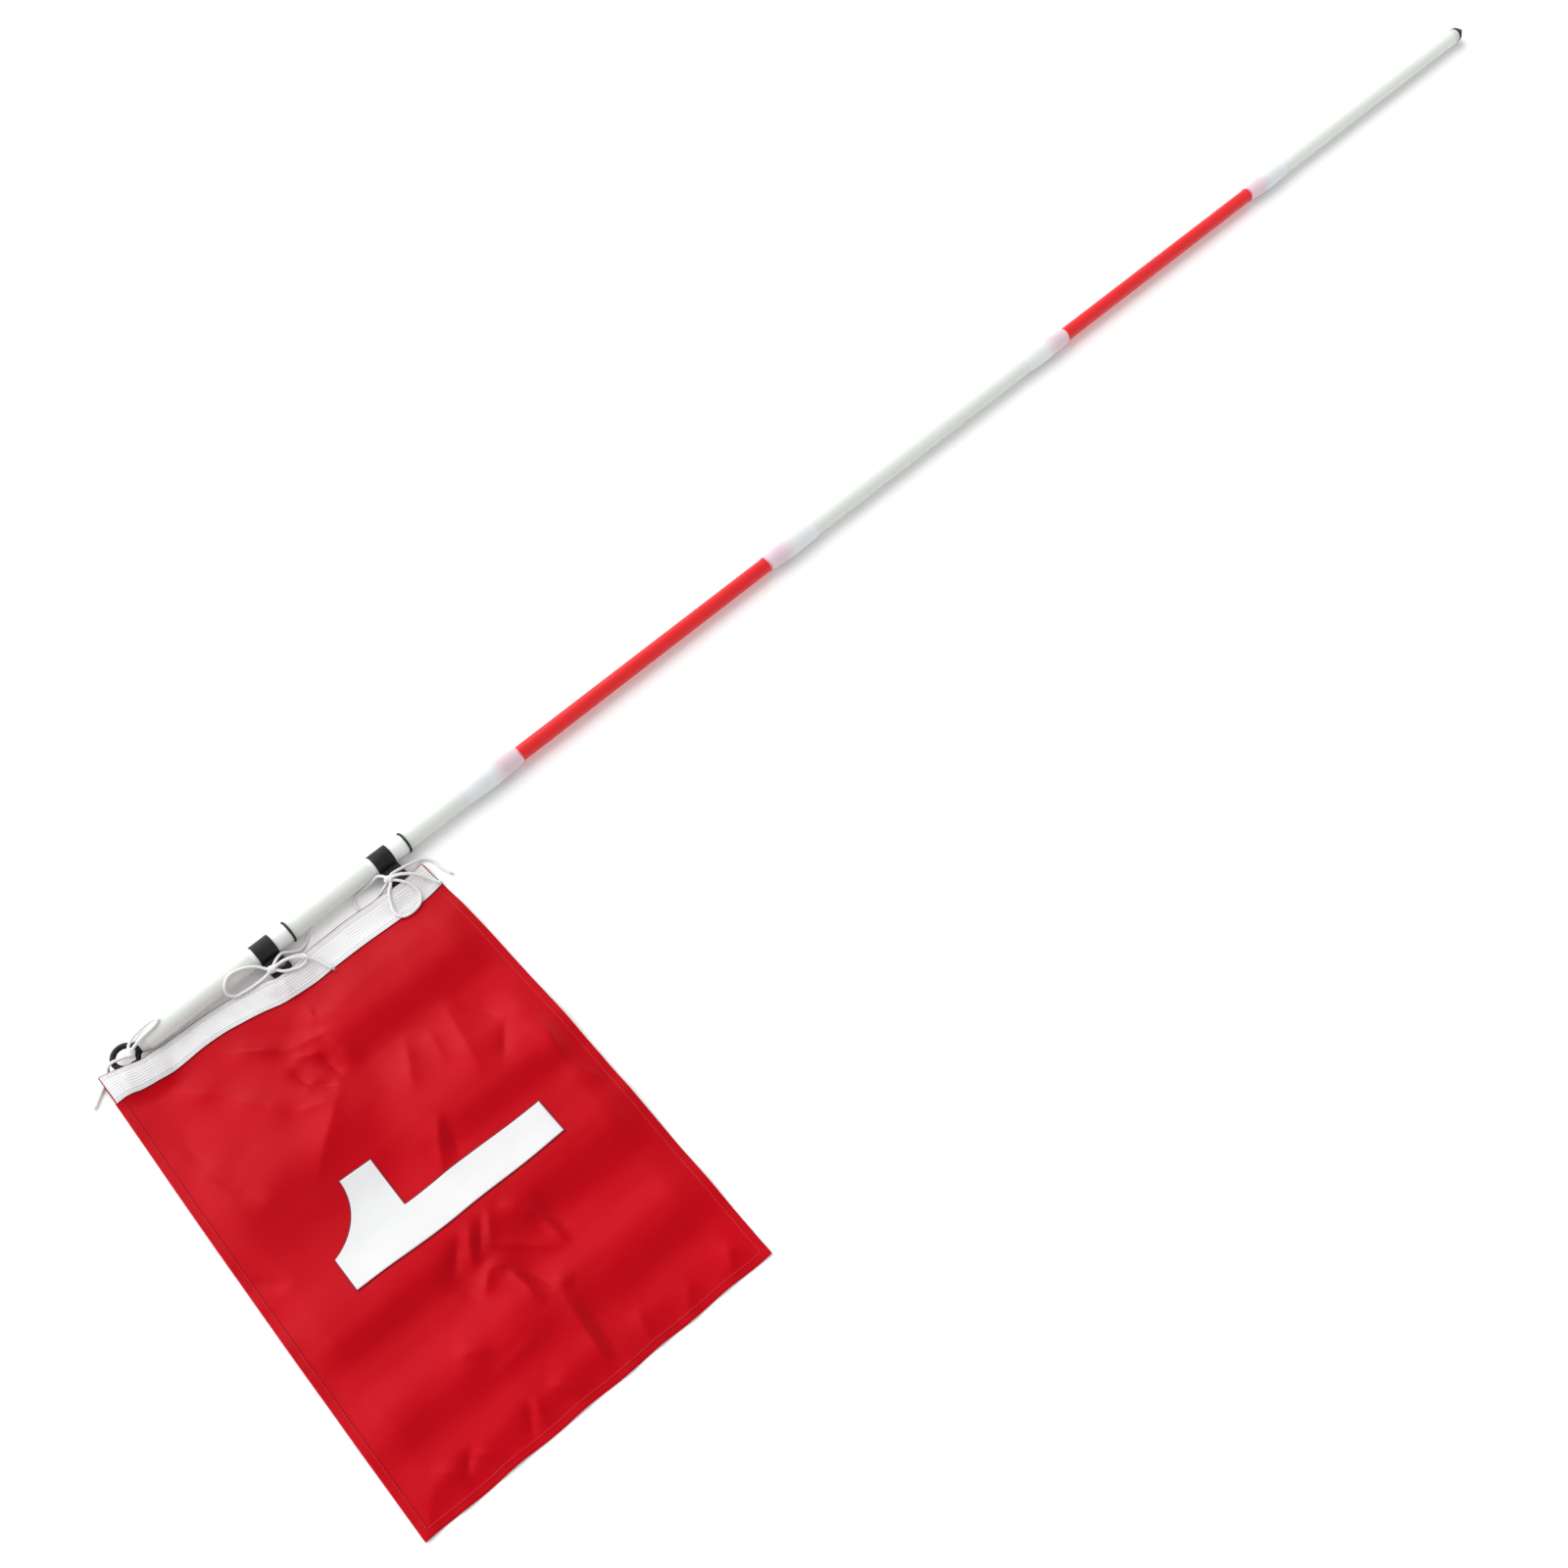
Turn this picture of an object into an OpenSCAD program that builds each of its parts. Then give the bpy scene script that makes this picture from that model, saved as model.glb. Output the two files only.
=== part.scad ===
// Portable golf flagstick in five push-together sections, lying flat beside its spread flag.
// X runs along the pole towards the end that stands in the ground, the flag lies towards -Y and Z is up.
// The origin is on the pole's axis, at the end of the tube that stands in the ground.

/* [Pole] */
// Length of the assembled pole, from the seat of the top eye to the base of the black point
pole_l = 2050; // [1900:10:2200]
// Outside diameter of the three white tubes
white_d = 18.5; // [18:0.1:19]
// Outside diameter of the two red tubes
red_d = 16.2; // [15:0.1:16.6]
// Wall of every tube
tube_wall = 1; // [0.8:0.1:1.2]
// Length of the white shoulder that closes the ground end
ferrule_l = 14; // [10:1:20]
// Length of the black point
point_l = 12; // [8:1:16]
// Diameter of the black point's base
point_d = 15; // [13:0.5:16]

/* [Couplers] */
// Length of a coupler
coupler_l = 70; // [60:1:80]
// Diameter of a coupler at its thickest
coupler_d = 21.6; // [21:0.1:22.4]
// Thickness of the stop between a coupler's two sockets
coupler_web = 2; // [1:0.5:4]
// Radial clearance of a red tube in its socket
socket_gap = 0.05; // [0.02:0.01:0.1]

/* [Top eye] */
// Outside radius of the eye
eye_r = 14; // [12:0.5:16]
// Thickness of the eye's ring
eye_t = 5.5; // [4:0.5:6]
// Radius of the eye's stem
stem_r = 3; // [2.5:0.1:3.5]
// Length of the plug's white shoulder between tube and eye
shoulder_l = 8; // [6:1:12]
// Length of the plug inside the tube
plug_l = 18; // [12:1:24]

/* [Clips] */
// Distance from the eye's seat to the middle of the first clip
clip_at = 137.5; // [120:0.5:150]
// Distance between the two clips
clip_pitch = 136.5; // [120:0.5:150]
// Length of a clip along the pole
clip_l = 20; // [16:1:24]
// Outside radius of a clip's collar
clip_r = 11; // [10.8:0.1:11.4]
// Reach of a clip's lug from the pole's axis
lug_reach = 31; // [28:0.5:34]
// Distance from a clip's middle to its rubber ring
ring_at = 28; // [24:0.5:32]
// Thickness of a rubber ring
ring_t = 2.2; // [1.8:0.1:2.2]

/* [Flag] */
// Thickness of the flag's cloth with its seams
cloth_t = 1.2; // [0.8:0.1:1.4]
// Thickness of the sewn tape on the flag's edge
tape_t = 1; // [0.6:0.1:1.2]
// Width of the sewn tape
tape_w = 30; // [25:1:34]
// Height of the numeral
numeral_h = 216; // [180:2:230]
// Diameter of the tie cord
cord_d = 3; // [2.5:0.1:3.2]

/* [Hidden] */
$fn = 48;

// Places along the pole
pitch = pole_l / 5;
eye_x = ferrule_l - pole_l;
function joint_x(k) = eye_x + k * pitch;
mid_x = eye_x + clip_at;
low_x = mid_x + clip_pitch;

// Fits
running_gap = 0.05;
end_gap = 0.3;
ring_grip_gap = 0.02;

// Radii worked out from the tubes
white_r = white_d / 2;
white_bore = white_r - tube_wall;
held_r = white_r - 0.25;
bush_bore = white_r + running_gap;
bush_r = bush_bore + 0.5;
ring_mid_r = white_r + ring_grip_gap + ring_t / 2;

// Surface that everything lies on: the rubber rings are the pole's fattest pieces
floor_z = -(ring_mid_r + ring_t / 2);
cloth_top = floor_z + cloth_t;
tape_top = cloth_top + tape_t;

// Plan of the flag: the tied edge is bowed between its corners, the other three sides are straight
tied_edge = [[-39, 0], [0, -8], [50, -12], [125, -25], [178, -33], [250, -27], [306, -27]];
fly_corners = [[274, -530], [-79, -505]];

// Numeral: foot towards the ground end, top towards the eye; the second place is across the flag
numeral_at = [4, -313];
numeral_turn = -4;
numeral_t = 0.5;
stem_w = 38;
hook_w = 90;
hook_bottom = 73;
hook_arc_at = [-14.5, 89.5];
hook_arc_r = 55.5;

// Routes of the ties, each from the middle of its clip, and the top one from the eye's seat
top_knot = [-8.5, -3, 5];
top_loop = [
    [-7, 2.5, 6], [0, 6.5, 7.5], [8, 8, 8.2], [17, 9.4, 6.8], [23.5, 8.6, 7.6],
    [27, 5, 10.2], [23, 1.5, 11.2], [15, 0, 11.3], [6, -1, 11.1], [-3, -2.5, 9.5]
];
top_tail = [
    [-13, -2, 3.5], [-19, -0.5, 4], [-25, 1, 4.9], [-30, 1.8, 2.2], [-32.5, 1.2, -3.5],
    [-35, -1.5, -8.2], [-40, -4, -9.9], [-47, -7.5, -9.9], [-53, -11.5, -9.9], [-60, -16.5, -9.9]
];
top_bind = [[-9, -6, 3], [-10, -12, 0], [-11, -17, -5], [-12, -20, -8.5]];

mid_knot = [-6.5, -23, 3.5];
mid_loop_a = [
    [-10, -19.5, 4], [-16, -12.5, 7], [-24.5, -7.5, 9.4], [-34, -4.5, 10.2], [-42, -5.2, 10.4],
    [-48.5, -9.2, 7.2], [-50.5, -13, 1], [-46, -17.5, -3.5],
    [-37.5, -19.8, -3.6], [-27, -22, -2], [-15.5, -24, 1.8]
];
mid_loop_b = [
    [-1.5, -23.5, 5], [6, -23.5, 4.5], [14, -24.5, 1.5], [20.5, -26, -1], [24, -30.5, -1],
    [21, -35.5, -0.6], [14.5, -37.3, 0.2], [7, -35.3, 1.8], [0, -31.5, 3]
];
mid_tail_a = [
    [-3, -20.5, 4], [4, -16.5, 3], [10, -14, 0], [17, -15.5, -5],
    [25, -18, -9], [33, -15.5, -9.9], [40, -9.5, -9.9]
];
mid_tail_b = [
    [-1, -24.5, 7], [9, -26.5, 7.5], [19, -31, 3.5],
    [28, -38, -2.6], [32, -46, -5.6], [35, -54.5, -7.5]
];

low_knot = [-8.5, -23.5, 3.5];
low_loop_a = [
    [-10, -18.5, 4], [-14, -12.5, 2], [-21, -10.5, -3], [-30, -8.5, -8], [-39, -8.5, -9.9],
    [-45, -14, -9.9], [-45.5, -22, -9.9], [-38, -26, -9.9], [-26, -24.5, -9], [-16, -23.5, -4]
];
low_loop_b = [
    [-10, -28, 3], [-15.5, -32, 1], [-21.5, -41, -4], [-24.5, -51, -7.2], [-20.5, -58, -8.3],
    [-11, -60, -8.5], [0, -57, -8.3], [5.5, -49, -6.8], [4.5, -40, -1.7], [-1.5, -31.5, 2.6]
];
low_tail_a = [
    [-3.5, -20.5, 3], [7, -20.5, 1], [20, -20, -5], [31.5, -21.5, -9.5],
    [37, -29, -9.9], [38, -40, -9.9], [41, -52, -9.9]
];
low_tail_b = [[-3, -25.5, 6.5], [4, -30, 7], [12, -35.5, 3.5], [20, -43, -4], [27, -54, -8]];

knot_r = 4;
clip_bind = [[3, -0.5, -6], [3.5, -4, -10], [4, -9, -12]];

module along_x(x) {
    translate([x, 0, 0])
        rotate([0, 90, 0])
            children();
}

// A tube along the pole between two places
module sleeve(from_x, to_x, outer_r, inner_r) {
    along_x(from_x)
        difference() {
            cylinder(r = outer_r, h = to_x - from_x);
            translate([0, 0, -1])
                cylinder(r = inner_r, h = to_x - from_x + 2);
        }
}

// A white tube, turned down a little where a coupler's socket holds it
held_l = coupler_l / 2 - coupler_web / 2;
module white_tube(from_x, to_x, held_first, held_last) {
    full_l = to_x - from_x;
    color([0.93, 0.95, 0.93])
        along_x(from_x)
            difference() {
                union() {
                    cylinder(r = held_r, h = full_l);
                    translate([0, 0, held_first])
                        cylinder(r = white_r, h = full_l - held_first - held_last);
                }
                translate([0, 0, -1])
                    cylinder(r = white_bore, h = full_l + 2);
            }
}

module red_tube(k) {
    stop = coupler_web / 2 + end_gap;
    color([0.94, 0.16, 0.18])
        sleeve(joint_x(k - 1) + stop, joint_x(k) - stop, red_d / 2, red_d / 2 - tube_wall);
}

module tube_1() {
    white_tube(eye_x + shoulder_l, joint_x(1) - coupler_web / 2, 0, held_l);
}

module tube_2() {
    red_tube(2);
}

module tube_3() {
    white_tube(joint_x(2) + coupler_web / 2, joint_x(3) - coupler_web / 2, held_l, held_l);
}

module tube_4() {
    red_tube(4);
}

module tube_5() {
    white_tube(joint_x(4) + coupler_web / 2, 0, held_l, 0);
}

// Outside radius of a coupler, u from its middle towards the red tube
belly_u = -3;
white_lip = white_r + 0.5;
red_lip = red_d / 2 + 0.65;
function coupler_r(u) =
    let (end_u = u < belly_u ? -coupler_l / 2 : coupler_l / 2)
    let (lip = u < belly_u ? white_lip : red_lip)
    coupler_d / 2 - (coupler_d / 2 - lip) * pow((u - belly_u) / (end_u - belly_u), 2);

// The white tube's socket faces -X, and side = -1 turns the coupler round
module coupler(k, side) {
    half = coupler_l / 2;
    steps = 14;
    web_bore = 5;
    outline = [for (i = [0:steps]) let (u = -half + i * coupler_l / steps) [coupler_r(u), u]];
    color([0.93, 0.95, 0.96, 0.7])
        translate([joint_x(k), 0, 0])
            scale([side, 1, 1])
                rotate([0, 90, 0])
                    difference() {
                        rotate_extrude()
                            polygon(concat([[0, -half]], outline, [[0, half]]));
                        translate([0, 0, -half - 1])
                            cylinder(r = held_r, h = half + 1 - coupler_web / 2);
                        translate([0, 0, coupler_web / 2])
                            cylinder(r = red_d / 2 + socket_gap, h = half + 1);
                        cylinder(r = web_bore, h = coupler_web + 2, center = true);
                    }
}

module coupler_1() {
    coupler(1, 1);
}

module coupler_2() {
    coupler(2, -1);
}

module coupler_3() {
    coupler(3, 1);
}

module coupler_4() {
    coupler(4, -1);
}

// White plug glued into the first tube, with the bore that the eye's stem turns in
module top_plug() {
    nose_r = 7;
    color([0.9, 0.92, 0.92])
        along_x(eye_x)
            difference() {
                union() {
                    translate([0, 0, end_gap])
                        cylinder(r1 = nose_r, r2 = white_r, h = shoulder_l - end_gap);
                    translate([0, 0, shoulder_l])
                        cylinder(r = white_bore, h = plug_l);
                }
                translate([0, 0, -1])
                    cylinder(r = stem_r + running_gap, h = shoulder_l + plug_l + 2);
            }
}

// Black eye with its round seat and its stem
module top_eye() {
    seat_r = 6.5;
    seat_l = 4.5;
    stem_end = 2.5;
    color([0.1, 0.1, 0.1])
        union() {
            translate([eye_x - eye_r, 0, 0])
                rotate_extrude()
                    translate([eye_r - eye_t / 2, 0])
                        circle(d = eye_t);
            along_x(eye_x - seat_l)
                cylinder(r = seat_r, h = seat_l);
            along_x(eye_x - 1)
                cylinder(r = stem_r, h = 1 + shoulder_l + plug_l + stem_end);
        }
}

// Push-on washer behind the plug
module eye_retainer() {
    washer_x = eye_x + shoulder_l + plug_l + end_gap;
    washer_t = 1.5;
    washer_r = 6;
    color([0.7, 0.7, 0.72])
        sleeve(washer_x, washer_x + washer_t, washer_r, stem_r);
}

// White sleeve that the clip grips and that turns on the tube
bush_back = 14;
module bush(x) {
    color([0.9, 0.92, 0.94])
        sleeve(x - bush_back, x + ring_at - ring_t / 2 - end_gap, bush_r, bush_bore);
}

slot_w = 5;
slot_l = 14;
slot_y = -22.5;
module lug_outline() {
    corner_r = 3;
    half = clip_l / 2;
    slot_half = (slot_l - slot_w) / 2;
    difference() {
        union() {
            translate([-half, -lug_reach + corner_r])
                square([clip_l, lug_reach - corner_r - bush_bore]);
            translate([-half + corner_r, -lug_reach])
                square([clip_l - 2 * corner_r, corner_r + 1]);
            for (s = [-1, 1])
                translate([s * (half - corner_r), -lug_reach + corner_r])
                    circle(r = corner_r);
        }
        translate([-slot_half, slot_y - slot_w / 2])
            square([2 * slot_half, slot_w]);
        for (s = [-1, 1])
            translate([s * slot_half, slot_y])
                circle(d = slot_w);
    }
}

// Black collar with a flat slotted lug towards the flag
module clip(x) {
    lug_t = 3;
    lug_top = -0.5;
    color([0.1, 0.1, 0.1])
        difference() {
            union() {
                along_x(x - clip_l / 2)
                    cylinder(r = clip_r, h = clip_l);
                translate([x, 0, lug_top - lug_t])
                    linear_extrude(lug_t)
                        lug_outline();
            }
            along_x(x - clip_l)
                cylinder(r = bush_r, h = 2 * clip_l);
        }
}

module o_ring(x) {
    color([0.08, 0.08, 0.08])
        along_x(x + ring_at)
            rotate_extrude()
                translate([ring_mid_r, 0])
                    circle(d = ring_t, $fn = 24);
}

module bush_mid() {
    bush(mid_x);
}

module clip_mid() {
    clip(mid_x);
}

module o_ring_mid() {
    o_ring(mid_x);
}

module bush_low() {
    bush(low_x);
}

module clip_low() {
    clip(low_x);
}

module o_ring_low() {
    o_ring(low_x);
}

// White end of the pole: a plug with a tapered shoulder and a seat for the point
pin_r = 4;
module tip_ferrule() {
    spigot_l = 20;
    point_rim = 0.4;
    color([0.86, 0.88, 0.88])
        difference() {
            union() {
                along_x(-spigot_l)
                    cylinder(r = white_bore, h = spigot_l);
                along_x(0)
                    cylinder(r1 = white_r, r2 = point_d / 2 + point_rim, h = ferrule_l);
            }
            along_x(-spigot_l - 1)
                cylinder(r = pin_r, h = spigot_l + ferrule_l + 2);
        }
}

module ground_point() {
    nub_r = 1;
    pin_l = 24;
    color([0.12, 0.12, 0.12])
        union() {
            along_x(ferrule_l)
                cylinder(r1 = point_d / 2, r2 = nub_r, h = point_l);
            along_x(ferrule_l - pin_l)
                cylinder(r = pin_r, h = pin_l + 0.5);
        }
}

// Plan outline between the tied edge and the fly corners, as far down the flag as depth
module flag_plan(depth) {
    count = len(tied_edge);
    lean = -0.07;
    inner = [for (i = [count - 1:-1:0]) tied_edge[i] + [lean * depth, -depth]];
    translate([eye_x, 0])
        polygon(depth > 0 ? concat(tied_edge, inner) : concat(tied_edge, fly_corners));
}

module flag_cloth() {
    color([0.8, 0.06, 0.12])
        translate([0, 0, floor_z])
            linear_extrude(cloth_t)
                flag_plan(0);
}

module header_tape() {
    edge_show = 0.7;
    color([0.95, 0.95, 0.95])
        translate([0, -edge_show, cloth_top])
            linear_extrude(tape_t)
                intersection() {
                    flag_plan(tape_w);
                    translate([0, edge_show])
                        flag_plan(0);
                }
}

// The numeral stands with its height along X; its hook points towards the tied edge
module numeral_plan() {
    difference() {
        union() {
            square([numeral_h, stem_w]);
            square([hook_bottom, hook_w]);
        }
        translate(hook_arc_at)
            circle(r = hook_arc_r);
    }
}

module number_patch() {
    color([0.94, 0.94, 0.94])
        translate([eye_x + numeral_at[0], numeral_at[1], cloth_top])
            rotate([0, 0, numeral_turn])
                linear_extrude(numeral_t)
                    numeral_plan();
}

// One stretch of cord: eight-sided rings along its route, square to it
function ring_frame(pts, i) =
    let (a = pts[max(i - 1, 0)], b = pts[min(i + 1, len(pts) - 1)])
    let (t = (b - a) / norm(b - a), s = cross([0, 0, 1], t))
    let (side = s / norm(s))
    [side, cross(t, side)];

module cord(start, route) {
    pts = [for (p = route) p + start];
    n = len(pts);
    sides = 8;
    rings = [
        for (i = [0:n - 1]) let (f = ring_frame(pts, i))
            for (k = [0:sides - 1]) let (a = 360 * (k + 0.5) / sides)
                pts[i] + cord_d / 2 * (cos(a) * f[0] + sin(a) * f[1])
    ];
    walls = [
        for (i = [0:n - 2])
            for (k = [0:sides - 1]) let (m = (k + 1) % sides, a = i * sides, b = a + sides)
                each [[a + k, b + k, b + m], [a + k, b + m, a + m]]
    ];
    first = [for (k = [0:sides - 1]) k];
    last = [for (k = [sides - 1:-1:0]) (n - 1) * sides + k];
    polyhedron(rings, concat(walls, [first, last]), convexity = 6);
}

module knot(at) {
    translate(at)
        sphere(r = knot_r, $fn = 12);
}

// Where a stretch of cord that goes on to a place starts, just inside its knot
function leave(at, place) = at + (knot_r - 0.6) * (place - at) / norm(place - at);

module tie(x, at, loops, tails) {
    start = [x, 0, 0];
    color([0.96, 0.96, 0.96])
        union() {
            knot(start + at);
            for (route = loops)
                cord(start, concat([leave(at, route[0])], route, [leave(at, route[len(route) - 1])]));
            for (route = tails)
                cord(start, concat([leave(at, route[0])], route));
        }
}

module tie_top() {
    tie(eye_x, top_knot, [top_loop], [top_tail, top_bind]);
}

module tie_mid() {
    bind = [for (p = clip_bind) mid_knot + p];
    tie(mid_x, mid_knot, [mid_loop_a, mid_loop_b], [mid_tail_a, mid_tail_b, bind]);
}

module tie_low() {
    bind = [for (p = clip_bind) low_knot + p];
    tie(low_x, low_knot, [low_loop_a, low_loop_b], [low_tail_a, low_tail_b, bind]);
}

tube_1();
tube_2();
tube_3();
tube_4();
tube_5();
coupler_1();
coupler_2();
coupler_3();
coupler_4();
top_plug();
top_eye();
eye_retainer();
bush_mid();
clip_mid();
o_ring_mid();
bush_low();
clip_low();
o_ring_low();
tip_ferrule();
ground_point();
flag_cloth();
header_tape();
number_patch();
tie_top();
tie_mid();
tie_low();
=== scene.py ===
"""Looks for the golf flagstick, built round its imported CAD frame.

Lengths are in millimetres from the frame's origin until Shape.place() turns them to metres.
The camera, the floor and the light are set in metres.
Plan places on the flag are (u, y): u from the eye along the pole, y away from the pole.
"""

import math

import bpy
import numpy as np
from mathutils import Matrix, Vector


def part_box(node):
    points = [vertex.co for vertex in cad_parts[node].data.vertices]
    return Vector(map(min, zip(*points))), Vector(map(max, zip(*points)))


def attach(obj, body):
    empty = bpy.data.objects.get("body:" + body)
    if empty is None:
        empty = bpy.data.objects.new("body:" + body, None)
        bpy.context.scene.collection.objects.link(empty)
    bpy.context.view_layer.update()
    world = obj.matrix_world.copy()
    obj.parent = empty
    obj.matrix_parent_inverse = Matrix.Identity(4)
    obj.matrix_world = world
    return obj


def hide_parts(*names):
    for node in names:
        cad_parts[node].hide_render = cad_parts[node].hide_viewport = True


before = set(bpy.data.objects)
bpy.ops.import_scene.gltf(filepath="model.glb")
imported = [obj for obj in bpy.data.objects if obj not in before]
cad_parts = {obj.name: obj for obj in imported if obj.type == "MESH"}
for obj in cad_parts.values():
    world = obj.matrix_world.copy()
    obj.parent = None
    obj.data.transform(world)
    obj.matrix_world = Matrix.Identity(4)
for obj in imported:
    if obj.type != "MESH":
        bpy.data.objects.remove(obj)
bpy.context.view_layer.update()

MM = 0.001
# The eye's seat is this far out from the top plug's end
PLUG_GAP = 0.3
EYE_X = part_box("top_plug")[0].x / MM - PLUG_GAP
MID_X = (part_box("clip_mid")[0].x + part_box("clip_mid")[1].x) / 2 / MM
LOW_X = (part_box("clip_low")[0].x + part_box("clip_low")[1].x) / 2 / MM
FLOOR_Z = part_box("o_ring_mid")[0].z / MM
CORD_D = 3.0
CLOTH_T = 0.45
TAPE_W = 30.0
TAPE_T = 0.6
# Neighbouring points closer than this, in metres, are one point
WELD_GAP = 0.00002

# ---------------------------------------------------------------- camera

CAMERA_AT = (-2.1046, -0.8925, 1.5269)
CAMERA_LOOKS_AT = (-1.4242, -0.2031, -0.0108)
CAMERA_LENS = 42.45

cam = bpy.data.objects.new("camera", bpy.data.cameras.new("camera"))
bpy.context.scene.collection.objects.link(cam)
cam.data.lens = CAMERA_LENS
cam.data.sensor_width = 36.0
cam.data.clip_start = 0.05
cam.data.clip_end = 30.0
cam.location = CAMERA_AT
aim = Vector(CAMERA_LOOKS_AT) - Vector(CAMERA_AT)
cam.rotation_euler = aim.to_track_quat("-Z", "Y").to_euler()
bpy.context.scene.camera = cam


# ---------------------------------------------------------------- small maths


def smoothstep(x):
    x = np.clip(x, 0.0, 1.0)
    return x * x * (3 - 2 * x)


def along(points, x):
    """A smooth curve through listed (place, value) pairs, read at x."""
    xs = np.array([p[0] for p in points], float)
    vs = np.array([p[1] for p in points], float)
    slopes = np.gradient(vs, xs)
    x = np.clip(np.asarray(x, float), xs[0], xs[-1])
    i = np.clip(np.searchsorted(xs, x) - 1, 0, len(xs) - 2)
    h = xs[i + 1] - xs[i]
    t = (x - xs[i]) / h
    return (
        (2 * t**3 - 3 * t**2 + 1) * vs[i]
        + (t**3 - 2 * t**2 + t) * h * slopes[i]
        + (3 * t**2 - 2 * t**3) * vs[i + 1]
        + (t**3 - t**2) * h * slopes[i + 1]
    )


def waves(u, y, seed, scale, octaves=3):
    """Soft seeded bumps from a few sine waves in turned directions, about -1 to 1."""
    rng = np.random.default_rng(seed)
    total = np.zeros(np.broadcast(u, y).shape)
    weight = 0.0
    for k in range(octaves * 4):
        size = scale / 1.6 ** (k // 4)
        strength = 0.6 ** (k // 4)
        turn = rng.uniform(0, math.pi)
        phase = rng.uniform(0, 2 * math.pi)
        total += strength * np.sin(
            2 * math.pi * (u * math.cos(turn) + y * math.sin(turn)) / size + phase
        )
        weight += strength
    return total / weight * 2.2


def spline(points, step):
    """Centripetal curve through the points, sampled about every step."""
    p = [np.array(q, float) for q in points]
    p = [2 * p[0] - p[1], *p, 2 * p[-1] - p[-2]]
    out = []
    for i in range(1, len(p) - 2):
        a, b, c, d = p[i - 1 : i + 3]
        count = max(2, int(np.linalg.norm(c - b) / step))
        t0, t1 = 0.0, np.linalg.norm(b - a) ** 0.5
        t2 = t1 + np.linalg.norm(c - b) ** 0.5
        t3 = t2 + np.linalg.norm(d - c) ** 0.5
        for k in range(count):
            t = t1 + (t2 - t1) * k / count
            a1 = (t1 - t) / (t1 - t0) * a + (t - t0) / (t1 - t0) * b
            a2 = (t2 - t) / (t2 - t1) * b + (t - t1) / (t2 - t1) * c
            a3 = (t3 - t) / (t3 - t2) * c + (t - t2) / (t3 - t2) * d
            b1 = (t2 - t) / (t2 - t0) * a1 + (t - t0) / (t2 - t0) * a2
            b2 = (t3 - t) / (t3 - t1) * a2 + (t - t1) / (t3 - t1) * a3
            out.append((t2 - t) / (t2 - t1) * b1 + (t - t1) / (t2 - t1) * b2)
    out.append(p[-2])
    return np.array(out)


# ---------------------------------------------------------------- mesh building


class Shape:
    """Vertices and faces of one piece, in millimetres from the part's origin."""

    def __init__(self):
        self.verts, self.faces = [], []

    def add(self, verts, faces):
        base = len(self.verts)
        self.verts.extend([tuple(v) for v in verts])
        self.faces.extend([tuple(base + i for i in f) for f in faces])

    def grid(self, points):
        """A sheet from a rows x columns x 3 array."""
        rows, cols = points.shape[:2]
        faces = [
            (i * cols + j, i * cols + j + 1, (i + 1) * cols + j + 1, (i + 1) * cols + j)
            for i in range(rows - 1)
            for j in range(cols - 1)
        ]
        self.add(points.reshape(-1, 3), faces)

    def tube(self, path, radius, sides=12, lobes=0, lobe_depth=0.0, pitch=9.0):
        """A tube along a path, its section lobed and turning like laid strands."""
        path = np.array(path, float)
        n = len(path)
        tangent = np.gradient(path, axis=0)
        tangent /= np.linalg.norm(tangent, axis=1)[:, None]
        side = np.cross(tangent[0], [0, 0, 1.0])
        if np.linalg.norm(side) < 0.1:
            side = np.cross(tangent[0], [0, 1.0, 0])
        side /= np.linalg.norm(side)
        run = 0.0
        verts = []
        radii = np.broadcast_to(radius, (n,))
        for i in range(n):
            side = side - tangent[i] * (side @ tangent[i])
            side /= np.linalg.norm(side)
            up = np.cross(tangent[i], side)
            if i:
                run += np.linalg.norm(path[i] - path[i - 1])
            for k in range(sides):
                a = 2 * math.pi * k / sides
                r = radii[i]
                if lobes:
                    wave = abs(math.sin(lobes / 2 * a + math.pi * lobes * run / pitch))
                    r *= 1 - lobe_depth * (1 - wave) ** 2
                verts.append(path[i] + r * (math.cos(a) * side + math.sin(a) * up))
        faces = [
            (
                i * sides + k,
                i * sides + (k + 1) % sides,
                (i + 1) * sides + (k + 1) % sides,
                (i + 1) * sides + k,
            )
            for i in range(n - 1)
            for k in range(sides)
        ]
        faces.append(tuple(reversed(range(sides))))
        faces.append(tuple(range((n - 1) * sides, n * sides)))
        self.add(verts, faces)

    def place(self, name, material, body):
        mesh = bpy.data.meshes.new(name)
        mesh.from_pydata([[c * MM for c in v] for v in self.verts], [], self.faces)
        mesh.validate()
        mesh.polygons.foreach_set("use_smooth", [True] * len(mesh.polygons))
        mesh.update()
        obj = bpy.data.objects.new(name, mesh)
        bpy.context.scene.collection.objects.link(obj)
        mesh.materials.append(material)
        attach(obj, body)
        return obj


def solidify(obj, thickness, offset=-1.0):
    mod = obj.modifiers.new("thickness", "SOLIDIFY")
    mod.thickness = thickness * MM
    mod.offset = offset
    return obj


# ---------------------------------------------------------------- materials


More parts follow.
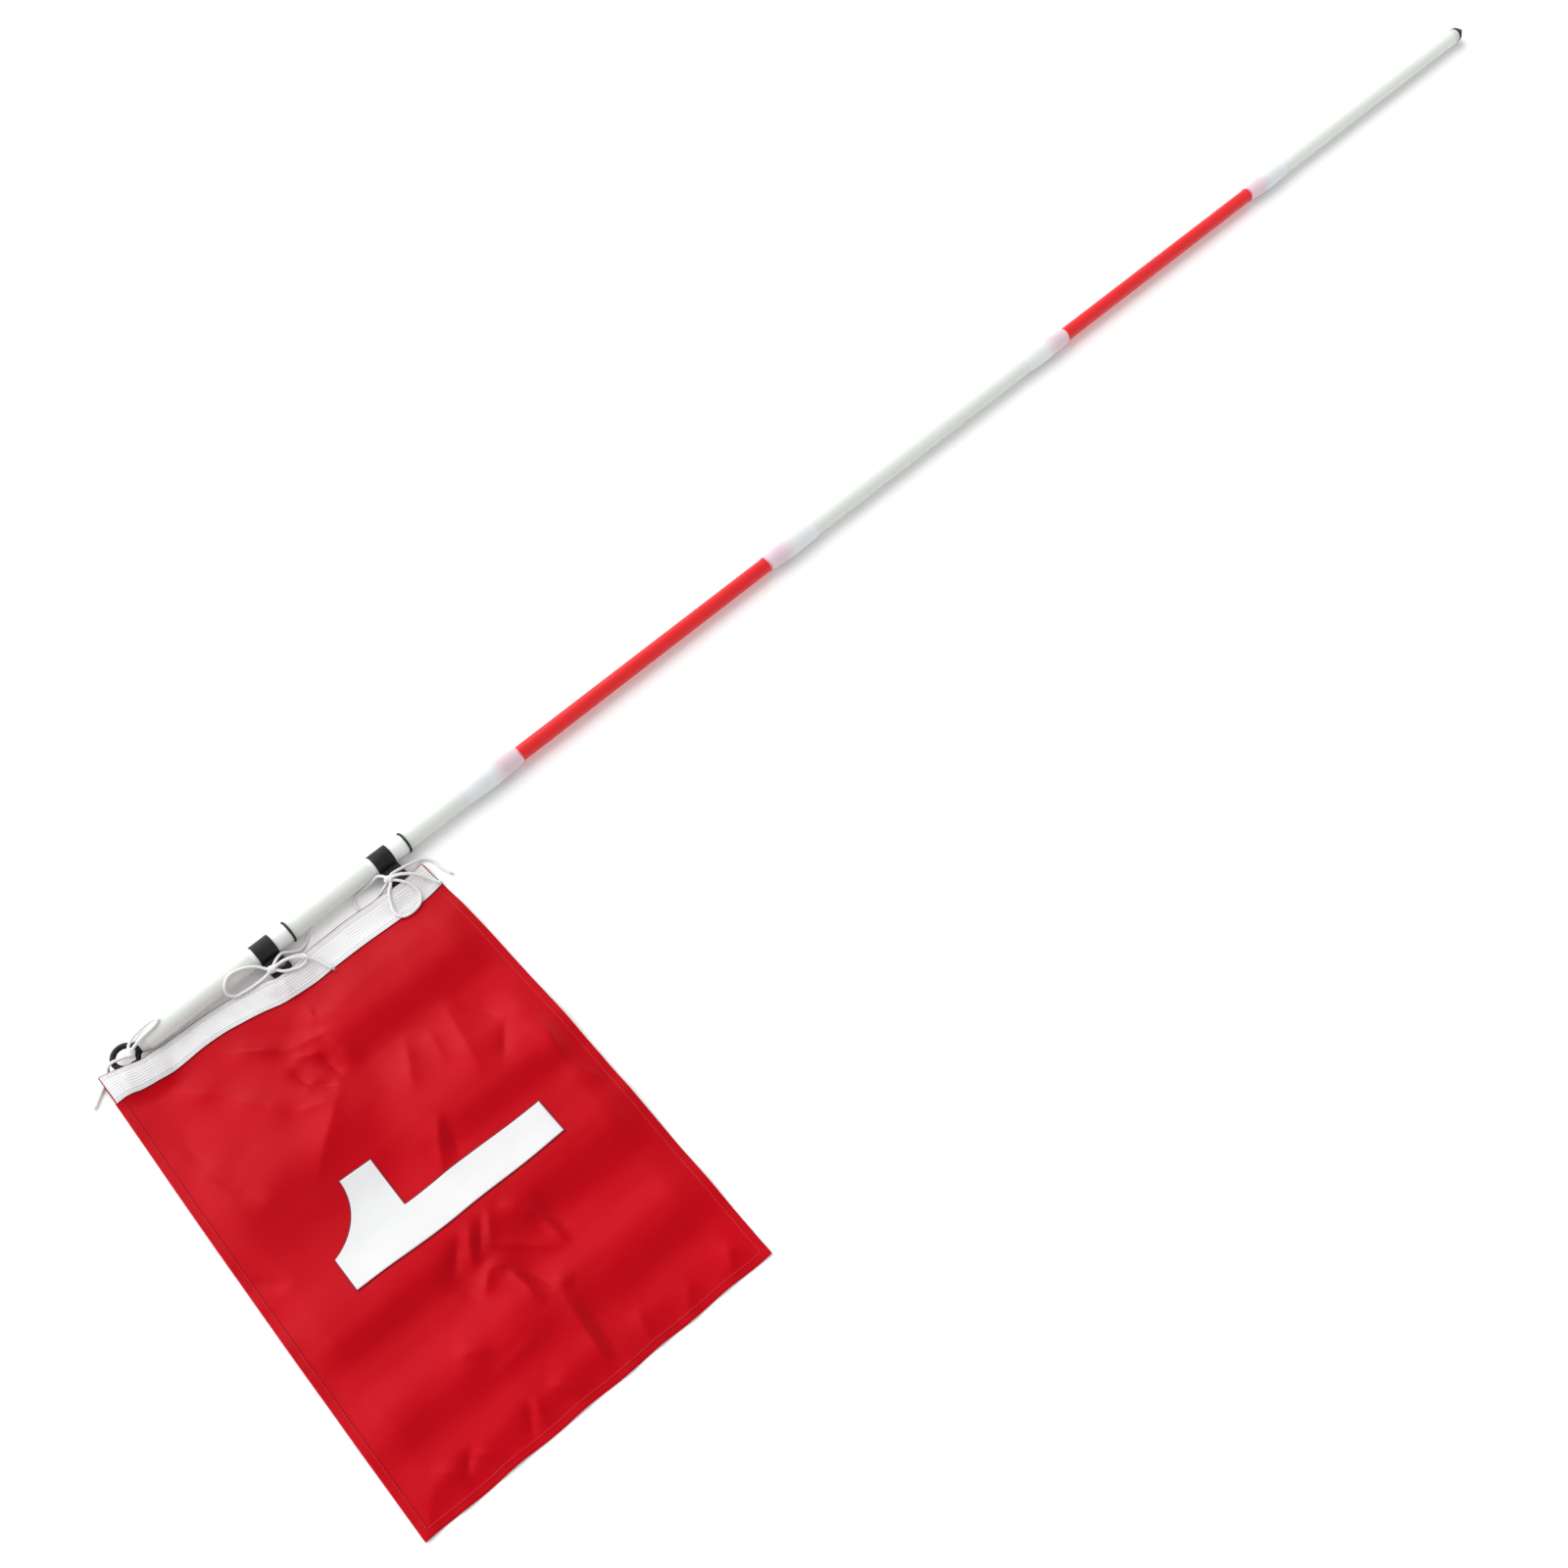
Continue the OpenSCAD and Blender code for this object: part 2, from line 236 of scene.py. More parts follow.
class Nodes:
    """A principled material and short calls for the nodes that feed it."""

    def __init__(self, name):
        self.material = bpy.data.materials.new(name)
        self.material.use_nodes = True
        self.tree = self.material.node_tree
        self.tree.nodes.clear()
        self.shader = self.tree.nodes.new("ShaderNodeBsdfPrincipled")
        out = self.tree.nodes.new("ShaderNodeOutputMaterial")
        self.tree.links.new(self.shader.outputs[0], out.inputs[0])
        self.coords = self.tree.nodes.new("ShaderNodeTexCoord").outputs["Object"]

    def link(self, a, b):
        self.tree.links.new(a, b)

    def turned(self, degrees, stretch=(1, 1, 1)):
        node = self.tree.nodes.new("ShaderNodeMapping")
        node.inputs["Rotation"].default_value = (0, 0, math.radians(degrees))
        node.inputs["Scale"].default_value = stretch
        self.link(self.coords, node.inputs["Vector"])
        return node.outputs[0]

    def noise(self, scale, detail=3.0, rough=0.55, coords=None, distort=0.0):
        node = self.tree.nodes.new("ShaderNodeTexNoise")
        node.inputs["Scale"].default_value = scale
        node.inputs["Detail"].default_value = detail
        node.inputs["Roughness"].default_value = rough
        node.inputs["Distortion"].default_value = distort
        self.link(coords or self.coords, node.inputs["Vector"])
        return node.outputs["Fac"]

    def bands(self, scale, axis, coords, distort):
        node = self.tree.nodes.new("ShaderNodeTexWave")
        node.wave_type = "BANDS"
        node.bands_direction = axis
        node.wave_profile = "SIN"
        node.inputs["Scale"].default_value = scale
        node.inputs["Distortion"].default_value = distort
        node.inputs["Detail"].default_value = 1.0
        self.link(coords or self.coords, node.inputs["Vector"])
        return node.outputs["Fac"]

    def math(self, kind, a, b):
        node = self.tree.nodes.new("ShaderNodeMath")
        node.operation = kind
        for socket, value in zip(node.inputs, (a, b)):
            if isinstance(value, (int, float)):
                socket.default_value = value
            else:
                self.link(value, socket)
        return node.outputs[0]

    def spread(self, value, low, high, to_low, to_high):
        node = self.tree.nodes.new("ShaderNodeMapRange")
        for key, number in (
            ("From Min", low),
            ("From Max", high),
            ("To Min", to_low),
            ("To Max", to_high),
        ):
            node.inputs[key].default_value = number
        self.link(value, node.inputs["Value"])
        return node.outputs[0]

    def blend(self, factor, a, b):
        node = self.tree.nodes.new("ShaderNodeMix")
        node.data_type = "RGBA"
        self.link(factor, node.inputs[0])
        for socket, value in ((node.inputs[6], a), (node.inputs[7], b)):
            if isinstance(value, tuple):
                socket.default_value = (*value, 1.0)
            else:
                self.link(value, socket)
        return node.outputs[2]

    def colour(self, output):
        self.link(output, self.shader.inputs["Base Color"])

    def rough(self, output):
        self.link(output, self.shader.inputs["Roughness"])

    def bump(self, height, strength, distance_mm, under=None):
        node = self.tree.nodes.new("ShaderNodeBump")
        node.inputs["Strength"].default_value = strength
        node.inputs["Distance"].default_value = distance_mm * MM
        self.link(height, node.inputs["Height"])
        if under is not None:
            self.link(under, node.inputs["Normal"])
        self.link(node.outputs[0], self.shader.inputs["Normal"])
        return node.outputs[0]

    def set(self, **values):
        for key, value in values.items():
            self.shader.inputs[key.replace("_", " ")].default_value = value
        return self


def srgb(r, g, b):
    """A colour as a camera would show it, 0 to 255, made linear."""
    return tuple(
        c / 255 / 12.92 if c <= 10 else ((c / 255 + 0.055) / 1.055) ** 2.4
        for c in (r, g, b)
    )


def lacquer(name, colour, worn, roughness):
    """Smooth coated tube: faint streaks along the pole, fine orange peel and small marks."""
    m = Nodes(name)
    long = m.turned(0, (1, 14, 14))
    streaks = m.noise(9, 4, 0.6, long)
    m.colour(m.blend(m.spread(streaks, 0.35, 0.75, 0.0, 1.0), colour, worn))
    m.rough(m.spread(m.noise(60, 4), 0.3, 0.7, roughness - 0.06, roughness + 0.1))
    m.bump(m.noise(420, 2), 0.12, 0.15)
    m.set(Coat_Weight=0.15, Coat_Roughness=0.2, Specular_IOR_Level=0.3, Diffuse_Roughness=1.0)
    return m.material


def moulded(name, colour, lighter, roughness, grain=900):
    """Moulded plastic or rubber: fine grain, cloudy tone and rubbed patches."""
    m = Nodes(name)
    cloud = m.noise(45, 5, 0.6)
    m.colour(m.blend(m.spread(cloud, 0.4, 0.75, 0.0, 1.0), colour, lighter))
    m.rough(m.spread(m.noise(160, 5), 0.3, 0.7, roughness - 0.08, roughness + 0.12))
    m.bump(m.noise(grain, 3), 0.2, 0.12)
    return m


def milky(name, pink_from, pink_to):
    """A coupler's cloudy plastic: the red tube inside tints the half that holds it."""
    m = Nodes(name)
    split = m.tree.nodes.new("ShaderNodeSeparateXYZ")
    m.link(m.coords, split.inputs[0])
    wobble = m.spread(m.noise(90, 3), 0.3, 0.7, -0.0015, 0.0015)
    x = m.math("ADD", split.outputs[0], wobble)
    way = 1 if pink_to > pink_from else -1
    inside = m.spread(x, pink_from - way * 0.003, pink_from + way * 0.013, 0, 1)
    lip = m.spread(x, pink_to - way * 0.0018, pink_to, 0, 1)
    cloud = m.spread(m.noise(30, 4), 0.3, 0.75, 0.0, 1.0)
    plain = m.blend(cloud, srgb(231, 233, 234), srgb(222, 226, 228))
    tinted = m.blend(cloud, srgb(229, 208, 217), srgb(222, 197, 207))
    body = m.blend(inside, plain, tinted)
    m.colour(m.blend(lip, body, srgb(227, 129, 138)))
    m.rough(m.spread(m.noise(120, 4), 0.3, 0.7, 0.3, 0.45))
    m.bump(m.noise(260, 3), 0.12, 0.2)
    m.set(Coat_Weight=0.15, Coat_Roughness=0.25, Diffuse_Roughness=1.0)
    return m.material


# The tied edge's turn from the pole, in degrees
FLAG_YAW = -4.1


def nylon(name, colour, shaded, lit, gloss):
    """Shiny plain-weave nylon: crossed threads with a painted highlight where they cross, soft
    patches of painted shade and a gloss of its own colour.
    """
    m = Nodes(name)
    turned = m.turned(-FLAG_YAW)
    warp = m.bands(520, "X", turned, 0.4)
    weft = m.bands(520, "Y", turned, 0.4)
    weave = m.math("MULTIPLY", warp, weft)
    # Painted shade: broad soft patches pull the colour towards its darker shaded copy
    shade_patches = m.spread(m.noise(7, 5, 0.6, distort=0.6), 0.3, 0.72, 0.0, 1.0)
    # Painted highlight: the thread crossings pull the colour towards its lighter lit copy
    fine = m.spread(weave, 0.0, 1.0, 0.0, 0.25)
    mixed = m.blend(shade_patches, colour, shaded)
    m.colour(m.blend(fine, mixed, lit))
    m.rough(m.spread(m.noise(25, 4), 0.3, 0.7, 0.38, 0.52))
    crinkle = m.bump(m.noise(55, 4, 0.55, distort=0.5), 0.25, 0.8)
    m.bump(weave, 0.25, 0.08, crinkle)
    m.set(Specular_IOR_Level=0.3, Specular_Tint=(*gloss, 1.0))
    return m.material


def ribbed_tape(name):
    """White webbing: threads along the tape in ribs, broken by the cross threads, with painted
    light on the rib tops and painted shade in the grooves between them.
    """
    m = Nodes(name)
    turned = m.turned(-FLAG_YAW)
    ribs = m.bands(130, "Y", turned, 0.6)
    cross = m.bands(260, "X", turned, 0.8)
    dash = m.math("MULTIPLY", ribs, m.spread(cross, 0.0, 1.0, 0.6, 1.0))
    grime = m.spread(m.noise(22, 5), 0.35, 0.75, 0.0, 0.45)
    # Painted light and shade: the rib tops are lighter, the grooves between them darker
    ribs_lit_and_shaded = m.blend(dash, srgb(224, 224, 225), srgb(234, 234, 234))
    m.colour(m.blend(grime, ribs_lit_and_shaded, srgb(230, 230, 230)))
    m.rough(m.spread(m.noise(200, 3), 0.3, 0.7, 0.75, 0.9))
    m.bump(dash, 0.5, 0.35)
    m.set(Sheen_Weight=0.15, Sheen_Roughness=0.6, Specular_IOR_Level=0.3)
    return m.material


def thread(name, colour, shaded, scale=900):
    m = Nodes(name)
    twist = m.bands(scale, "DIAGONAL", None, 1.5)
    m.colour(m.blend(twist, shaded, colour))
    m.rough(m.spread(m.noise(300, 3), 0.3, 0.7, 0.62, 0.85))
    m.bump(twist, 0.35, 0.15)
    m.set(Sheen_Weight=0.2, Sheen_Roughness=0.5, Specular_IOR_Level=0.3)
    return m.material


CORD_WHITE = thread("cord white", srgb(233, 233, 233), srgb(221, 221, 221), 700)
RED_THREAD = thread("red thread", srgb(188, 8, 23), srgb(162, 4, 16))
# A dark red for the cloth's edges: the red edge, darkened as painted shade
EDGE_RED_SHADED = thread("edge red with painted shade", srgb(138, 7, 23), srgb(103, 3, 16))
WHITE_THREAD = thread("white thread", srgb(221, 221, 221), srgb(198, 198, 201))
RED_GLOSS, WHITE_GLOSS = (1.0, 0.16, 0.22), (1.0, 1.0, 1.0)
# Each nylon gets its own colour, a darker copy for painted shade, a lighter copy for a painted
# highlight, and its gloss tint
FLAG_RED = nylon("flag nylon", srgb(176, 2, 16), srgb(163, 1, 12), srgb(183, 6, 21), RED_GLOSS)
NUMERAL_WHITE = nylon(
    "numeral nylon", srgb(213, 213, 214), srgb(206, 207, 208), srgb(220, 220, 220), WHITE_GLOSS
)
TAPE_WHITE = ribbed_tape("header webbing")

# ---------------------------------------------------------------- how the flag lies

TIED_EDGE = [
    (-43, 1.7),
    (-27, -6.5),
    (-16, -10.8),
    (-6, -13.6),
    (6, -12.4),
    (18, -10.8),
    (39, -10.2),
    (59, -11.1),
    (79, -13.4),
    (88, -14.8),
    (106, -21),
    (120, -26.4),
    (128, -31),
    (138, -31.6),
    (148, -31.2),
    (163, -27),
    (184, -24.2),
    (211, -23.5),
    (237, -26.7),
    (252, -29.3),
    (264, -31.4),
    (275, -31.8),
    (285, -31.2),
    (300, -27.7),
]
# The tape's far edge, which lies flat on the floor
TAPE_FOOT = [
    (-45, -27),
    (-35, -28.5),
    (-20, -34),
    (-10, -36.3),
    (5, -37.8),
    (20, -37),
    (45, -35.7),
    (60, -36.5),
    (80, -40),
    (100, -44.5),
    (120, -50.5),
    (145, -54),
    (180, -54.3),
    (210, -55),
    (240, -56.5),
    (268, -57.5),
    (285, -57),
    (303, -54.5),
]
# How far in from the tied edge the cloth takes to come down to the floor
LIFT_REACH = [(-43, 40), (10, 40), (62, 27), (190, 27), (248, 22.5), (300, 22.5)]
# Height of the cloth's top over the floor along its tied edge: over the eye and over both clips
EDGE_LIFT = [
    (-43, 8.0),
    (-34, 12.2),
    (-22, 14.8),
    (-8, 14.6),
    (4, 10.5),
    (16, 5.5),
    (34, 2.8),
    (59, 2.2),
    (84, 2.6),
    (106, 5.2),
    (122, 9.8),
    (137, 10.6),
    (150, 10.0),
    (163, 7.0),
    (186, 3.0),
    (214, 2.2),
    (238, 5.2),
    (256, 9.2),
    (270, 10.2),
    (284, 9.8),
    (300, 6.6),
]
FLY_A, FLY_B = np.array([-79.0, -505.0]), np.array([274.0, -530.0])
# Height of the folded cloth over the floor, down the flag: left of its middle and right of it
RISE_LEFT = [
    (-10, 2),
    (-45, 0.8),
    (-70, 1.0),
    (-150, 6.6),
    (-188, 9.6),
    (-224, 6.2),
    (-252, 3.6),
    (-282, 4.0),
    (-330, 7.8),
    (-340, 7.6),
    (-368, 3.0),
    (-386, 3.2),
    (-423, 7.2),
    (-430, 7.0),
    (-456, 3.2),
    (-490, 3.4),
    (-515, 1.2),
    (-540, 0.8),
]
RISE_RIGHT = [
    (-10, 2),
    (-45, 3.4),
    (-80, 5.4),
    (-108, 6.4),
    (-150, 0.9),
    (-158, 1.1),
    (-236, 10.0),
    (-244, 9.8),
    (-272, 5.6),
    (-300, 6.2),
    (-332, 8.6),
    (-340, 8.2),
    (-382, 1.6),
    (-398, 2.0),
    (-428, 5.4),
    (-436, 5.2),
    (-468, 0.9),
    (-490, 1.3),
    (-520, 0.9),
    (-545, 0.7),
]
# The folds run across the flag a little aslant, as seen from its middle
FOLD_LEAN, FOLD_MIDDLE = -0.055, 110
# Where the left folds give way to the right ones, at the tied edge and at the fly edge
PARTING = (128, 104)
PARTING_WIDTH = 46.0
# Creases pressed in by handling: from, to, height (a groove is minus) and half width
CREASES = [
    ((-26, -60), (-22, -150), -3.0, 18),
    ((-22, -150), (-6, -190), -2.6, 14),
    ((-8, -44), (28, -92), 3.0, 14),
    ((28, -92), (66, -152), 3.0, 16),
    ((66, -152), (96, -166), 2.0, 12),
    ((40, -212), (104, -160), 2.4, 15),
    ((54, -54), (92, -92), 3.4, 9),
    ((92, -92), (130, -106), 2.2, 9),
    ((74, -44), (120, -92), -2.0, 10),
    ((84, -112), (88, -136), -2.4, 6),
    ((88, -136), (104, -152), -2.0, 5),
    ((92, -104), (112, -118), 1.8, 6),
    ((112, -118), (114, -146), -2.2, 6),
    ((126, -104), (134, -146), 2.2, 9),
    ((133, -64), (128, -96), 2.6, 5),
    ((140, -70), (122, -100), -1.6, 6),
    ((176, -156), (150, -206), 2.4, 11),
    ((196, -166), (186, -206), 1.6, 9),
    ((222, -158), (204, -232), 3.0, 14),
    ((236, -158), (252, -208), -2.2, 13),
    ((252, -208), (224, -240), -2.4, 9),
    ((150, -240), (120, -282), 2.4, 8),
    ((154, -242), (140, -280), -1.8, 8),
    ((276, -232), (262, -280), 2.6, 11),
    ((262, -280), (280, -316), 2.0, 9),
    ((-54, -240), (-36, -266), -1.8, 6),
    ((92, -336), (70, -358), -2.6, 6),
    ((106, -336), (84, -366), 2.6, 6),
    ((118, -336), (96, -360), -2.4, 5),
    ((126, -336), (108, -362), 1.8, 6),
    ((60, -352), (78, -390), -2.2, 9),
    ((78, -390), (96, -372), 2.8, 7),
    ((96, -372), (106, -382), 2.0, 5),
    ((106, -382), (108, -428), 3.2, 7),
    ((112, -384), (124, -424), -2.4, 8),
    ((104, -354), (156, -406), 2.6, 9),
    ((138, -342), (154, -370), 2.4, 9),
    ((154, -370), (158, -400), 2.4, 6),
    ((166, -352), (164, -396), -2.0, 10),
    ((128, -420), (136, -432), 2.0, 5),
    ((30, -412), (50, -428), 1.6, 8),
    ((125, -434), (113, -512), 4.2, 13),
    ((134, -434), (124, -512), -2.4, 12),
    ((40, -446), (92, -446), 1.6, 12),
    ((-40, -470), (-20, -494), 2.0, 7),
    ((-12, -476), (-26, -492), -2.4, 5),
    ((-8, -482), (6, -502), 2.0, 6),
    ((46, -482), (32, -504), -2.4, 6),
    ((52, -484), (44, -506), 2.0, 6),
    ((70, -482), (86, -508), 2.2, 7),
    ((158, -488), (152, -516), 2.2, 7),
    ((206, -500), (190, -520), 1.8, 7),
    ((254, -498), (236, -524), 2.2, 8),
]
# How strongly the folds and creases show, and the height and size of the soft waves on them
FOLD_DEPTH, CREASE_DEPTH = 1.8, 2.2
FOLD_WAVE, FOLD_WAVE_SIZE = 0.9, 120.0
# Gathers in the tape where the ties pull it, given like the creases
GATHERS = [
    ((-22, -12), (-28, -32), 1.5, 6),
    ((-11, -14), (-8, -34), -2.0, 6),
    ((1, -15), (8, -36), 1.8, 7),
    ((14, -13), (26, -36), -1.3, 7),
    ((124, -31), (114, -47), 1.2, 6),
    ((133, -33), (130, -50), 1.6, 4),
    ((141, -34), (145, -51), -1.9, 5),
    ((150, -33), (160, -50), 1.5, 6),
    ((264, -33), (258, -52), 1.3, 5),
    ((275, -34), (279, -53), -1.6, 5),
    ((286, -33), (294, -52), 1.2, 5),
]


# The cloth's rough size, how far the hems calm its folds, and the hems' own small gathers
FLAG_WIDE, FLAG_DEEP = 350.0, 505.0
HEM_CALM, CALM_REACH = 0.35, 34.0
SIDE_PUCKER, FLY_PUCKER = 0.55, 0.75
# How far past the tape the folds take to reach their full height
FREE_REACH = 45
RIPPLE, RIPPLE_SIZE = 0.35, 34.0
# A gather shows in full where the cloth is lifted this high
GATHER_LIFT = 5.0
UNDER_GAP = 0.25


def edge_y(u):
    return along(TIED_EDGE, u)


def foot_y(u):
    return along(TAPE_FOOT, u)


def crease(u, y, start, end, height, half_width):
    """A pressed line: sharp along its middle, fading to its sides and towards its ends."""
    a, b = np.array(start, float), np.array(end, float)
    run = b - a
    length = np.linalg.norm(run)
    t = ((u - a[0]) * run[0] + (y - a[1]) * run[1]) / length
    across = ((u - a[0]) * run[1] - (y - a[1]) * run[0]) / length
    from_end = np.minimum(t, length - t)
    taper = smoothstep((from_end + 0.9 * half_width) / (0.9 * half_width + 0.4 * length))
    d = np.sqrt(across**2 + 0.6**2)
    return height * np.exp(-((d / half_width) ** 1.15)) * taper


def folds(u, y):
    """Height of the folded, creased and slightly wavy cloth over the floor."""
    u, y = np.broadcast_arrays(np.asarray(u, float), np.asarray(y, float))
    down = -(y - FOLD_LEAN * (u - FOLD_MIDDLE))
    left_rise = along([(-p[0], p[1]) for p in RISE_LEFT], down)
    right_rise = along([(-p[0], p[1]) for p in RISE_RIGHT], down)
    parting = PARTING[0] + (PARTING[1] - PARTING[0]) * np.clip(-y / 500, 0, 1)
    rise = left_rise + (right_rise - left_rise) * smoothstep((u - parting) / PARTING_WIDTH + 0.5)
    rise = FOLD_DEPTH * rise + FOLD_WAVE * waves(u, y, 11, FOLD_WAVE_SIZE, 3)
    for start, end, height, half_width in CREASES:
        rise = rise + CREASE_DEPTH * crease(u, y, start, end, height, half_width)
    return (rise + np.sqrt(rise**2 + 0.5)) / 2


def edge_calm(a, b):
    """The hems hold the cloth flatter at its sides and at the fly edge."""
    side = np.minimum(a, 1 - a) * FLAG_WIDE
    foot = (1 - b) * FLAG_DEEP
    return HEM_CALM + (1 - HEM_CALM) * smoothstep(np.minimum(side, foot) / CALM_REACH)


def pucker(a, b):
    """Small gathers along the hems."""
    side = np.minimum(a, 1 - a) * FLAG_WIDE
    foot = (1 - b) * FLAG_DEEP
    at_sides = np.exp(-((side / 13) ** 2)) * np.sin(b * FLAG_DEEP / 9.5 + 2.0 * np.sin(b * 11))
    at_fly = np.exp(-((foot / 15) ** 2)) * np.sin(a * FLAG_WIDE / 7.0 + 2.4 * np.sin(a * 9))
    return SIDE_PUCKER * at_sides + FLY_PUCKER * at_fly


EDGE_U = (TIED_EDGE[0][0], TIED_EDGE[-1][0])
SIDE_BOW_RIGHT, SIDE_BOW_LEFT = 6.0, 1.5
FLY_WAVE = 0.5


def flag_uv(a, b):
    """Where a place on the cloth lies in plan: a along the tied edge, b towards the fly edge."""
    a, b = np.asarray(a, float), np.asarray(b, float)
    u0 = EDGE_U[0] + (EDGE_U[1] - EDGE_U[0]) * a
    y0 = edge_y(u0)
    u1 = FLY_A[0] + (FLY_B[0] - FLY_A[0]) * a
    y1 = FLY_A[1] + (FLY_B[1] - FLY_A[1]) * a
    bow = SIDE_BOW_RIGHT * np.sin(math.pi * np.clip(b, 0, 1) ** 0.6) * a**2
    bow = bow - SIDE_BOW_LEFT * np.sin(math.pi * b) * (1 - a) ** 2
    u = u0 + (u1 - u0) * b + bow
    y = y0 + (y1 - y0) * b
    return u, y + b**12 * FLY_WAVE * np.sin(a * 31)


def flag_ab(u, y):
    """The place on the cloth that lies at (u, y), found by closing in on it."""
    a = np.clip((np.asarray(u, float) - EDGE_U[0]) / FLAG_WIDE, -0.05, 1.05)
    b = np.clip(-np.asarray(y, float) / FLAG_DEEP, 0, 1)
    for _ in range(14):
        uu, yy = flag_uv(a, b)
        a = a + (u - uu) / FLAG_WIDE
        b = np.clip(b - (y - yy) / FLAG_DEEP, -0.02, 1.02)
    return a, b


def cloth_top(u, y):
    """Height of the cloth's upper face over the floor."""
    a, b = flag_ab(u, y)
    s = np.maximum(edge_y(u) - y, 0.0)
    reach = along(LIFT_REACH, u)
    hump = along(EDGE_LIFT, u) * (1 - smoothstep(s / reach))
    free = smoothstep((s - TAPE_W * 0.7) / FREE_REACH)
    rise = folds(u, y) * free * edge_calm(np.clip(a, 0, 1), b)
    ripple = RIPPLE * (1 - free) * waves(u, y, 5, RIPPLE_SIZE, 2)
    gather = sum(crease(u, y, *g) for g in GATHERS)
    gather = gather * smoothstep(hump / GATHER_LIFT)
    under = CLOTH_T + UNDER_GAP + pucker(np.clip(a, 0, 1), b) * free + gather
    return np.maximum(under, CLOTH_T) + np.abs(hump + rise * 0.8 + ripple * 0.5)


def on_flag(u, y, over=0.0):
    """Points at (u, y) on the cloth, raised by over."""
    u, y = np.broadcast_arrays(np.asarray(u, float), np.asarray(y, float))
    z = FLOOR_Z + cloth_top(u, y) + over
    return np.stack([EYE_X + u, y, z], axis=-1)


def on_cloth(a, b, over=0.0):
    u, y = flag_uv(a, b)
    return on_flag(u, y, over)


# ---------------------------------------------------------------- ties

# The same routes as in the CAD: each from the middle of its clip, the top one from the eye's seat
TOP_KNOT = (-8.5, -3, 5)
TOP_LOOP = [
    (-7, 2.5, 6),
    (0, 6.5, 7.5),
    (8, 8, 8.2),
    (17, 9.4, 6.8),
    (23.5, 8.6, 7.6),
    (27, 5, 10.2),
    (23, 1.5, 11.2),
    (15, 0, 11.3),
    (6, -1, 11.1),
    (-3, -2.5, 9.5),
]
TOP_TAIL = [
    (-13, -2, 3.5),
    (-19, -0.5, 4),
    (-25, 1, 4.9),
    (-30, 1.8, 2.2),
    (-32.5, 1.2, -3.5),
    (-35, -1.5, -8.2),
    (-40, -4, -9.9),
    (-47, -7.5, -9.9),
    (-53, -11.5, -9.9),
    (-60, -16.5, -9.9),
]
TOP_BIND = [
    (-9, -6, 3),
    (-10, -12, 0),
    (-11, -17, -5),
    (-12, -20, -8.5),
]
MID_KNOT = (-6.5, -23, 3.5)
MID_LOOP_A = [
    (-10, -19.5, 4),
    (-16, -12.5, 7),
    (-24.5, -7.5, 9.4),
    (-34, -4.5, 10.2),
    (-42, -5.2, 10.4),
    (-48.5, -9.2, 7.2),
    (-50.5, -13, 1),
    (-46, -17.5, -3.5),
    (-37.5, -19.8, -3.6),
    (-27, -22, -2),
    (-15.5, -24, 1.8),
]
MID_LOOP_B = [
    (-1.5, -23.5, 5),
    (6, -23.5, 4.5),
    (14, -24.5, 1.5),
    (20.5, -26, -1),
    (24, -30.5, -1),
    (21, -35.5, -0.6),
    (14.5, -37.3, 0.2),
    (7, -35.3, 1.8),
    (0, -31.5, 3),
]
MID_TAIL_A = [
    (-3, -20.5, 4),
    (4, -16.5, 3),
    (10, -14, 0),
    (17, -15.5, -5),
    (25, -18, -9),
    (33, -15.5, -9.9),
    (40, -9.5, -9.9),
]
MID_TAIL_B = [
    (-1, -24.5, 7),
    (9, -26.5, 7.5),
    (19, -31, 3.5),
    (28, -38, -2.6),
    (32, -46, -5.6),
    (35, -54.5, -7.5),
]
LOW_KNOT = (-8.5, -23.5, 3.5)
LOW_LOOP_A = [
    (-10, -18.5, 4),
    (-14, -12.5, 2),
    (-21, -10.5, -3),
    (-30, -8.5, -8),
    (-39, -8.5, -9.9),
    (-45, -14, -9.9),
    (-45.5, -22, -9.9),
    (-38, -26, -9.9),
    (-26, -24.5, -9),
    (-16, -23.5, -4),
]
LOW_LOOP_B = [
    (-10, -28, 3),
    (-15.5, -32, 1),
    (-21.5, -41, -4),
    (-24.5, -51, -7.2),
    (-20.5, -58, -8.3),
    (-11, -60, -8.5),
    (0, -57, -8.3),
    (5.5, -49, -6.8),
    (4.5, -40, -1.7),
    (-1.5, -31.5, 2.6),
]
LOW_TAIL_A = [
    (-3.5, -20.5, 3),
    (7, -20.5, 1),
    (20, -20, -5),
    (31.5, -21.5, -9.5),
    (37, -29, -9.9),
    (38, -40, -9.9),
    (41, -52, -9.9),
]
LOW_TAIL_B = [
    (-3, -25.5, 6.5),
    (4, -30, 7),
    (12, -35.5, 3.5),
    (20, -43, -4),
    (27, -54, -8),
]
CLIP_BIND = [
    (3, -0.5, -6),
    (3.5, -4, -10),
    (4, -9, -12),
]

CORD_LOBES, CORD_LOBE_DEPTH, CORD_PITCH = 3, 0.2, 10.0
STRAND_R = CORD_D / 2 - 0.1
KNOT_TURNS, KNOT_R, KNOT_WIDE = 2.4, 2.55, 4.6
# A cord starts this far out from its knot's middle
KNOT_START = 1.2
FIBRES, FIBRE_R, FIBRE_SPREAD = 16, 0.14, 0.55
FIBRE_OFF_FLOOR = 0.25


